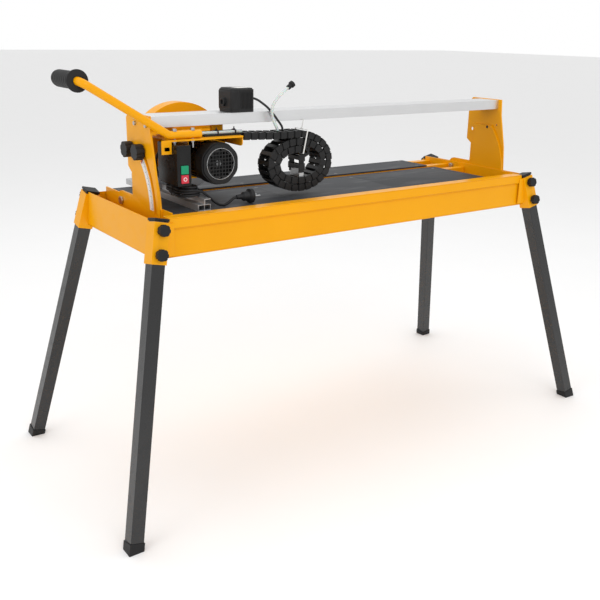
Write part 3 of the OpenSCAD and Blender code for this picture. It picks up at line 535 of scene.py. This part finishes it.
rail_metal = metal("rail_aluminium", (0.78, 0.785, 0.79), 0.36, (0.02, 1, 1), 0.0001, 700)
fence_metal = metal("fence_aluminium", (0.56, 0.565, 0.57), 0.42, (1, 0.02, 1), 0.0001, 700)
softened("rail", rail_metal.material, 1.0 * MM, 3)
softened("rip_fence", fence_metal.material, 0.35 * MM)
finished("rail_screws", zinc.material)


# ---- Posts and tilt scale ------------------------------------------------------------
# Laser-cut posts with a curved tilt slot. The printed scale is a strip of film on
# the left post, with evenly spaced ticks, every fifth one long, and no figures.

for node in ("left_post", "right_post"):
    softened(node, yellow.material, 0.6 * MM)

film = Paint("scale_film", IOR=1.5)
stain = film.noise(40, 4)
film.set({
    "Base Color": film.tint(stain, rgb(0.66, 0.65, 0.62), rgb(0.80, 0.79, 0.76)),
    "Roughness": stain * 0.2 + 0.3,
})
finished("angle_scale", film.material)

ink = Paint("ink", IOR=1.5)
ink.set({"Base Color": rgb(0.02, 0.02, 0.02), "Roughness": ink.noise(200, 2) * 0.2 + 0.5})
red = Paint("red_mark", IOR=1.5)
red.set({"Base Color": rgb(0.45, 0.01, 0.01), "Roughness": red.noise(200, 2) * 0.2 + 0.35})
softened("scale_pointer", red.material, 0.2 * MM)

joint_named = {j["name"]: j for j in frame["record"]["behaviour"]["joints"]}
pivot = Vector(joint_named["bridge_tilt"]["pos_m"])
scale_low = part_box("angle_scale")[0]
SCALE_OUTER = 197 * MM
TICK_WIDE = 0.9 * MM
TICK_STEPS = 40
TICK_FIRST = 3
TICK_SWEEP = 38
LONG_TICK = 11 * MM
SHORT_TICK = 6 * MM
TICK_INSET = 1.5 * MM
FILM_PROUD = 0.12 * MM


def cuboid(built, centre, size, turn=None):
    made = bmesh.ops.create_cube(built, size=1)
    spin = turn or Matrix.Identity(4)
    bmesh.ops.transform(
        built,
        verts=made["verts"],
        matrix=Matrix.Translation(centre) @ spin @ Matrix.Diagonal((*size, 1)),
    )
    return made["verts"]


def rod(built, start, end, radius, radius_end=None, sides=32):
    start, end = Vector(start), Vector(end)
    along = end - start
    made = bmesh.ops.create_cone(
        built,
        cap_ends=True,
        segments=sides,
        radius1=radius,
        radius2=radius if radius_end is None else radius_end,
        depth=along.length,
    )
    turn = along.to_track_quat("Z", "Y").to_matrix().to_4x4()
    bmesh.ops.transform(
        built, verts=made["verts"], matrix=Matrix.Translation((start + end) / 2) @ turn
    )
    return made["verts"]


def scale_ticks(built):
    for step in range(TICK_STEPS + 1):
        reach = SHORT_TICK if step % 5 else LONG_TICK
        angle = math.radians(TICK_FIRST + step * TICK_SWEEP / TICK_STEPS)
        out = Vector((0, -math.cos(angle), math.sin(angle)))
        middle = SCALE_OUTER - reach / 2 - TICK_INSET
        centre = Vector((scale_low.x, pivot.y, pivot.z)) + out * middle
        centre.x -= FILM_PROUD / 2
        turn = Matrix.Rotation(math.pi - angle, 4, "X")
        cuboid(built, centre, (FILM_PROUD, reach, TICK_WIDE), turn)


add_piece("scale_ticks", joined([scale_ticks]), "bridge", ink.material)

for node in ("tilt_knob_left", "tilt_knob_right", "stop_knob"):
    softened(node, black_plastic.material, 2.0 * MM, 3)


# ---- Carriage ------------------------------------------------------------------------
# A folded plate hung on four rollers that run inside the rail.

for node, edge in {"carriage_plate": 0.9, "trolley_hangers": 0.5, "motor_cradle": 0.8}.items():
    softened(node, yellow.material, edge * MM)
roller_plastic = moulded("roller_plastic", rgb(0.03, 0.03, 0.032), rgb(0.06, 0.06, 0.062), 0.35)
for number in range(1, 5):
    softened(f"roller_{number}", roller_plastic.material, 0.6 * MM)


# ---- Handle --------------------------------------------------------------------------
# One length of 20 mm steel tube with two bends, clamped to the plate's front edge
# by two bolts through it, with a ribbed rubber grip pushed on its end.

HANDLE_R = 10 * MM
BEND_R = 22 * MM
tube_low, tube_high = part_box("handle_tube")
grip_low, grip_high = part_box("handle_grip")
plate_low, plate_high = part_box("carriage_plate")
tube_y = tube_low.y + HANDLE_R
tube_z = plate_high.z + 11 * MM
grip_middle = Vector(((grip_low.x + grip_high.x) / 2, 0, (grip_low.z + grip_high.z) / 2))
handle_start = Vector((tube_high.x - HANDLE_R, tube_y, tube_z))
handle_bend = Vector((handle_start.x - 86 * MM, tube_y, tube_z))
handle_top = Vector((grip_middle.x, tube_y, grip_middle.z))
handle_end = Vector((grip_middle.x, grip_high.y - 6 * MM, grip_middle.z))


def rounded_route(corners, radius, steps=10):
    """Straight stretches with an arc of the given radius at each corner."""
    line = [corners[0]]
    for before, corner, after in zip(corners, corners[1:], corners[2:]):
        back, ahead = (before - corner).normalized(), (after - corner).normalized()
        half = back.angle(ahead) / 2
        reach = radius / math.tan(half)
        centre = corner + (back + ahead).normalized() * radius / math.sin(half)
        first = corner + back * reach - centre
        last = corner + ahead * reach - centre
        for step in range(steps + 1):
            line.append(centre + first.slerp(last, step / steps).normalized() * radius)
    line.append(corners[-1])
    return line


def swept(built, line, radius, sides=24, closed_ends=True):
    """A round section carried along a line without twist."""
    headings = [
        (line[min(i + 1, len(line) - 1)] - line[max(i - 1, 0)]).normalized()
        for i in range(len(line))
    ]
    side = headings[0].orthogonal().normalized()
    rings = []
    for place, ahead in zip(line, headings):
        side = (side - ahead * side.dot(ahead)).normalized()
        other = ahead.cross(side)
        turns = [math.tau * k / sides for k in range(sides)]
        rings.append([
            built.verts.new(place + radius * (side * math.cos(turn) + other * math.sin(turn)))
            for turn in turns
        ])
    for one, two in zip(rings, rings[1:]):
        for k in range(sides):
            built.faces.new((one[k], one[(k + 1) % sides], two[(k + 1) % sides], two[k]))
    if closed_ends:
        built.faces.new(list(reversed(rings[0])))
        built.faces.new(rings[-1])


handle_line = rounded_route([handle_start, handle_bend, handle_top, handle_end], BEND_R)
add_piece(
    "handle_bent_tube",
    joined([lambda built: swept(built, handle_line, HANDLE_R)]),
    "carriage",
    yellow.material,
    ["handle_tube"],
)

grip_rubber = Paint("grip_rubber", IOR=1.5, Specular_IOR_Level=0.3)
sweat = grip_rubber.noise(45, 4)
grip_rubber.set({
    "Base Color": grip_rubber.tint(sweat, rgb(0.006, 0.006, 0.006), rgb(0.014, 0.014, 0.015)),
    "Roughness": sweat * 0.2 + 0.48,
    "Normal": grip_rubber.bump(grip_rubber.noise(1100, 2), 0.0002, 0.4),
})
softened("handle_grip", grip_rubber.material, 0.5 * MM)

BOLT_R = 3 * MM
WASHER_R = 6.5 * MM
NUT_R = 5.2 * MM
BOLT_XS = (handle_bend.x + 14 * MM, handle_start.x - 22 * MM)


def clamp_bolts(built):
    """Shank, washer, head on the tube and nut under the plate, for each bolt."""
    top, plate = tube_z + HANDLE_R, plate_high.z
    for x in BOLT_XS:
        for low, high, radius, sides in (
            (plate_low.z + 12 * MM, top + 3 * MM, BOLT_R, 20),
            (top - 0.5 * MM, top + 1 * MM, WASHER_R, 32),
            (top + 1 * MM, top + 5 * MM, NUT_R, 6),
            (plate - 8 * MM, plate - 4.2 * MM, NUT_R, 6),
        ):
            rod(built, (x, tube_y, low), (x, tube_y, high), radius, sides=sides)


add_piece("handle_bolts", joined([clamp_bolts]), "carriage", zinc.material)


# ---- Motor ---------------------------------------------------------------------------
# A finned aluminium housing in black, with a pressed fan cover whose round field
# of square holes shows the fan behind it.

softened("motor_housing", black_coat.material, 0.5 * MM)
finished("fan_cover", black_plastic.material)
softened("cooling_fan", roller_plastic.material, 0.4 * MM)
finished("motor_bearings", zinc.material)
finished("rotor_shaft", zinc.material)
cover_low, cover_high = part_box("fan_cover")
cover_middle = (cover_low + cover_high) / 2
GRILLE_R = 39.3 * MM
RIM_WIRE_R = 0.6 * MM


def ring_line(centre, radius, steps=64):
    """A closed circle in the X and Z plane."""
    turns = [k * math.tau / steps for k in range(steps + 1)]
    return [centre + radius * Vector((math.cos(t), 0, math.sin(t))) for t in turns]


def grille_rim(built):
    centre = Vector((cover_middle.x, cover_low.y + 0.2 * MM, cover_middle.z))
    swept(built, ring_line(centre, GRILLE_R), RIM_WIRE_R, 10, closed_ends=False)


add_piece("grille_rim", joined([grille_rim]), "carriage", zinc.material)

winding = metal("winding", (0.45, 0.20, 0.07), 0.35, (1, 0.05, 1))
finished("motor_stator", winding.material)


# ---- Blade and hood ------------------------------------------------------------------
# A ground steel disc clamped between two flanges, under a yellow sheet hood.

blade_steel = metal("blade_steel", (0.50, 0.51, 0.53), 0.26, (1, 1, 1), 0.00005, 500)
finished("blade", blade_steel.material)
softened("blade_flanges", zinc.material, 0.5 * MM)
softened("blade_guard", yellow.material, 0.8 * MM)


# ---- Switch box ----------------------------------------------------------------------
# A closed black box under the plate, with a green start button over a red stop
# button in its front face. The stop button carries the usual ring.

box_gloss = moulded("box_plastic", rgb(0.003, 0.003, 0.003), rgb(0.008, 0.008, 0.008), 0.2, 700)
softened("switch_box", box_gloss.material, 1.4 * MM, 3)
green = moulded("green_button", rgb(0.006, 0.23, 0.11), rgb(0.010, 0.31, 0.15), 0.3)
crimson = moulded("red_button", rgb(0.50, 0.025, 0.045), rgb(0.60, 0.045, 0.07), 0.3)
softened("start_button", green.material, 1.2 * MM, 3)
softened("stop_button", crimson.material, 1.2 * MM, 3)

white_mark = Paint("white_mark", IOR=1.5)
white_mark.set({
    "Base Color": rgb(0.8, 0.8, 0.8),
    "Roughness": white_mark.noise(300, 2) * 0.2 + 0.35,
})
stop_low, stop_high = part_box("stop_button")
MARK_PROUD = 0.25 * MM


def stop_ring(built):
    middle = (stop_low + stop_high) / 2
    sides, inner, outer = 36, 3.4 * MM, 4.9 * MM
    for k in range(sides):
        corners = []
        for radius, turn in ((inner, k), (outer, k), (outer, k + 1), (inner, k + 1)):
            angle = math.tau * turn / sides
            across, up = radius * math.cos(angle), radius * math.sin(angle)
            corners.append((middle.x + across, middle.z + up))
        near = [built.verts.new((x, stop_low.y - MARK_PROUD, z)) for x, z in corners]
        far = [built.verts.new((x, stop_low.y, z)) for x, z in corners]
        built.faces.new(near)
        built.faces.new(list(reversed(far)))
        for i in range(4):
            built.faces.new((near[i], far[i], far[(i + 1) % 4], near[(i + 1) % 4]))
    bmesh.ops.remove_doubles(built, verts=built.verts, dist=1e-7)


add_piece("stop_mark", joined([stop_ring]), "stop_button", white_mark.material)


# ---- Pump and plug -------------------------------------------------------------------
# The submersible cooling pump sits on the rail as it is packed. The mains plug
# has two round pins.

softened("pump_box", black_plastic.material, 3.0 * MM, 3)
pump_low, pump_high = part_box("pump_box")
PUMP_PORT_REACH = 7 * MM
PUMP_RIBS = 9
RIB_SIZE = (2.2 * MM, 2.4 * MM, 42 * MM)
FILTER_LONG = 27 * MM
FILTER_PROUD = 1.3 * MM
FILTER_SHORT = 3 * MM
pump_left = pump_low.x + PUMP_PORT_REACH
pump_middle = (pump_low + pump_high) / 2


def pump_ribs(built):
    """Cooling ribs on the pump's front, right of its filter cover."""
    first, last = pump_left + 30 * MM, pump_high.x - 9 * MM
    for k in range(PUMP_RIBS):
        x = first + (last - first) * k / (PUMP_RIBS - 1)
        cuboid(built, (x, pump_low.y, pump_low.z + 30 * MM), RIB_SIZE)


def pump_filter(built):
    """Filter cover that wraps the port's end of the pump."""
    deep = pump_high.y - pump_low.y + 2 * FILTER_PROUD
    high = pump_high.z - pump_low.z - 2 * FILTER_SHORT
    middle = Vector((pump_left + 12.6 * MM, pump_middle.y, pump_middle.z))
    cuboid(built, middle, (FILTER_LONG, deep, high))


def pump_label(built):
    top = Vector(((pump_left + pump_high.x) / 2 + 9 * MM, pump_middle.y, pump_high.z))
    cuboid(built, top, (34 * MM, 40 * MM, 0.3 * MM))


def eased_edges(piece, width, segments=2):
    edge = piece.modifiers.new("edge", "BEVEL")
    edge.width = width
    edge.segments = segments


for name, builder, width, segments in (
    ("pump_ribs", pump_ribs, 0.6 * MM, 2),
    ("pump_filter", pump_filter, 7 * MM, 4),
):
    piece = add_piece(name, joined([builder]), "carriage", black_plastic.material)
    eased_edges(piece, width, segments)
add_piece("pump_label", joined([pump_label]), "carriage", film.material)
plug = softened("plug_body", rubber.material, 0.8 * MM)
pins = finished("plug_pins", zinc.material)
connector = softened("hose_connector", black_plastic.material, 0.6 * MM)


# ---- Cable chain ---------------------------------------------------------------------
# Moulded links, each with two side plates and two cross bars. The chain leaves
# the arm at the carriage and is rolled up, with its free end hanging inside.

LINK_PITCH = 23 * MM
LINK_H = 18.4 * MM
SIDE_T = 5 * MM
chain_low, chain_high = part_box("cable_chain")
coil_left = chain_high.x - 232 * MM
chain_half = (chain_high.y - chain_low.y) / 2
chain_mid_y = (chain_high.y + chain_low.y) / 2
COIL_LAYER = 20.5 * MM
coil_centre = Vector(
    ((coil_left + chain_high.x) / 2, chain_mid_y, (chain_low.z + chain_high.z) / 2)
)
coil_half_wide = (chain_high.x - coil_left) / 2 - LINK_H / 2
coil_half_high = (chain_high.z - chain_low.z) / 2 - LINK_H / 2
bracket_low, bracket_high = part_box("chain_bracket")


def on_coil(angle, inwards):
    """A point on the coil, the given depth inside its outer turn."""
    across, up = (coil_half_wide - inwards), (coil_half_high - inwards)
    return coil_centre + Vector((across * math.cos(angle), 0, up * math.sin(angle)))


def chain_route():
    """The chain's centreline: a straight lead, two and a bit turns, and a hanging end."""
    line = [Vector((chain_low.x + 2 * MM, chain_mid_y, plate_high.z - 3.5 * MM))]
    coil_top = chain_high.z - LINK_H / 2 - 1 * MM
    line.append(Vector((coil_left + 40 * MM, chain_mid_y, coil_top)))
    turns, steps = 2.08, 150
    for step in range(steps + 1):
        turned = turns * step / steps
        line.append(on_coil(math.pi / 2 - math.tau * turned, COIL_LAYER * turned))
    tail_x = (bracket_low.x + bracket_high.x) / 2 + 4 * MM
    line.append(Vector((tail_x, chain_mid_y, coil_centre.z + 20 * MM)))
    line.append(Vector((tail_x, chain_mid_y, bracket_high.z + 4 * MM)))
    return line


def evenly(line, pitch):
    """Places on the line a pitch apart, each with its heading."""
    places, left = [], 0.0
    for a, b in zip(line, line[1:]):
        step = b - a
        along = left
        while along < step.length:
            places.append((a + step * (along / step.length), step.normalized()))
            along += pitch
        left = along - step.length
    return places


def chain_links(built):
    for place, ahead in evenly(chain_route(), LINK_PITCH):
        side = Vector((0, 1, 0))
        up = ahead.cross(side).normalized()
        turn = Matrix((ahead, side, up)).transposed().to_4x4()
        for s in (-1, 1):
            wall = place + side * s * (chain_half - SIDE_T / 2)
            cuboid(built, wall, (LINK_PITCH * 0.74, SIDE_T, LINK_H), turn)
            lap = place + side * s * (chain_half - SIDE_T * 0.9) + ahead * LINK_PITCH * 0.5
            cuboid(built, lap, (LINK_PITCH * 0.5, SIDE_T * 0.7, LINK_H * 0.86), turn)
            pin = wall + ahead * LINK_PITCH * 0.22
            proud = side * s * SIDE_T
            rod(built, pin + proud * 0.45, pin + proud * 0.54, 3.2 * MM, sides=16)
        for lift in (-1, 1):
            bar = place + up * lift * (LINK_H / 2 - 1.3 * MM)
            cuboid(built, bar, (LINK_PITCH * 0.46, 2 * chain_half - SIDE_T, 2.4 * MM), turn)


chain_plastic = moulded("chain_plastic", rgb(0.006, 0.006, 0.006), rgb(0.015, 0.015, 0.016), 0.3)
chain = add_piece("chain_links", joined([chain_links]), "carriage", chain_plastic.material,
                  ["cable_chain"])
eased_edges(chain, 0.7 * MM)
softened("chain_arm", black_plastic.material, 0.5 * MM)
softened("chain_bracket", zinc.material, 0.4 * MM)


# ---- Hose and cable on the arm -------------------------------------------------------
# A clear hose and a black cable lie side by side along the arm, from the motor to
# the cable chain, under two ties.

arm_low, arm_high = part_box("chain_arm")
ARM_FLOOR = plate_high.z + 5 * MM


def arm_line(y, radius):
    height = ARM_FLOOR + radius
    return smooth_line([
        Vector((arm_low.x - 20 * MM, y + 10 * MM, height)),
        Vector((arm_low.x, y + 3 * MM, height)),
        Vector((arm_low.x + 40 * MM, y, height)),
        Vector((arm_high.x - 40 * MM, y, height)),
        Vector((arm_high.x - 2 * MM, y, height)),
    ])


for name, inset, radius, paint, slot in (
    ("arm_hose", 7 * MM, 4 * MM, clear_hose, "clear_hose"),
    ("arm_cable", 16 * MM, 3 * MM, rubber, "cord_rubber"),
):
    line = arm_line(arm_low.y + inset, radius)
    mesh = joined([lambda built: swept(built, line, radius)])
    add_piece(name, mesh, "carriage", paint.material)


# ---- Cable ties ----------------------------------------------------------------------
# Nylon ties: a black one round the hanked mains lead, two over the hose and cable
# on the arm, and a white one that keeps the chain rolled up.

TIE_W = 3.6 * MM
TIE_T = 1.1 * MM


def cable_tie(built, centre, along, up, half_wide, half_high, tail):
    """A flat band round a bundle that runs along, with its head and cut tail on top."""
    side = along.cross(up)
    turn = Matrix((along, side, up)).transposed().to_4x4()
    flat, upright = (TIE_W, 2 * half_wide + 2 * TIE_T, TIE_T), (TIE_W, TIE_T, 2 * half_high)
    for s in (-1, 1):
        cuboid(built, centre + up * s * (half_high + TIE_T / 2), flat, turn)
        cuboid(built, centre + side * s * (half_wide + TIE_T / 2), upright, turn)
    head = centre + up * (half_high + TIE_T)
    cuboid(built, head, (TIE_W * 1.5, 5 * MM, 4 * MM), turn)
    cuboid(built, head + up * tail / 2, (TIE_W * 0.8, TIE_T, tail), turn)


nylon_black = moulded("nylon_black", rgb(0.006, 0.006, 0.006), rgb(0.014, 0.014, 0.015), 0.3)
nylon_white = moulded("nylon_white", rgb(0.62, 0.62, 0.60), rgb(0.72, 0.72, 0.70), 0.35)
AHEAD, UP, BACK = Vector((1, 0, 0)), Vector((0, 0, 1)), Vector((0, 1, 0))
BUNDLE_MIDDLE = 7.2 * MM
bundle = Vector((hank_low.x + BUNDLE_MIDDLE, hank_middle.y, hank_middle.z))


def hank_tie(built):
    bite = 0.6 * MM
    half_high = (hank_high.z - hank_low.z) / 2 - bite
    cable_tie(built, bundle + UP * bite, BACK, UP, 7.5 * MM, half_high, 4 * MM)


def arm_ties(built):
    reach = arm_high.x - arm_low.x
    for share in (0.35, 0.8):
        middle = Vector((arm_low.x + reach * share, arm_low.y + 11 * MM, ARM_FLOOR + 3.5 * MM))
        cable_tie(built, middle, AHEAD, UP, 8.4 * MM, 4.7 * MM, 7 * MM)


def chain_tie(built):
    """Round all three layers near the coil's top, where the free end hangs inside."""
    lean = math.radians(78)
    out = Vector((math.cos(lean), 0, math.sin(lean)))
    along = Vector((math.sin(lean), 0, -math.cos(lean)))
    middle = on_coil(lean, COIL_LAYER)
    cable_tie(built, middle, along, out, chain_half + 0.6 * MM, 1.55 * COIL_LAYER, 27 * MM)


add_piece("chain_tie", joined([chain_tie]), "carriage", nylon_white.material)
add_piece("hank_tie", joined([hank_tie]), "carriage", nylon_black.material)
add_piece("arm_ties", joined([arm_ties]), "carriage", nylon_black.material)
